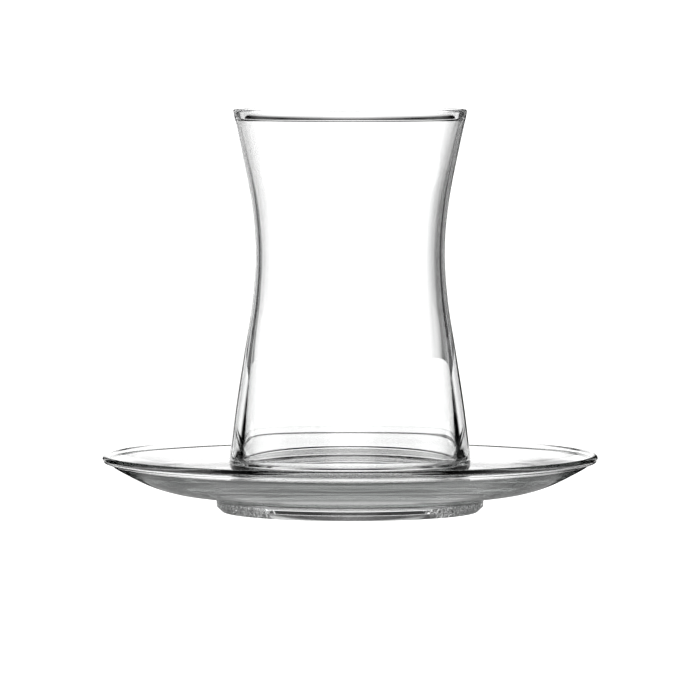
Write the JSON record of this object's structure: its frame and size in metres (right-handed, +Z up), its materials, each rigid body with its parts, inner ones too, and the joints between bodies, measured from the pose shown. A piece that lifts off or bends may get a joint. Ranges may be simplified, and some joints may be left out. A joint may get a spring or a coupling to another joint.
{
  "type": "turkish tea glass on a saucer",
  "caption": "Clear waisted tea glass with a rounded rim and thick base, standing on a shallow footed glass saucer.",
  "frame": {"origin": "on the table, at the centre of the saucer's foot", "axes": "+Z up along the axis that both pieces are turned about; X and Y are alike"},
  "size_m": [0.1638, 0.1638, 0.1328],
  "materials": {
    "clear_glass": "clear, fire polished",
    "pressed_glass": "clear, pressed, faintly green in the thick"
  },
  "bodies": {
    "root": {"tea_glass": "clear_glass", "saucer": "pressed_glass"}
  },
  "joints": []
}
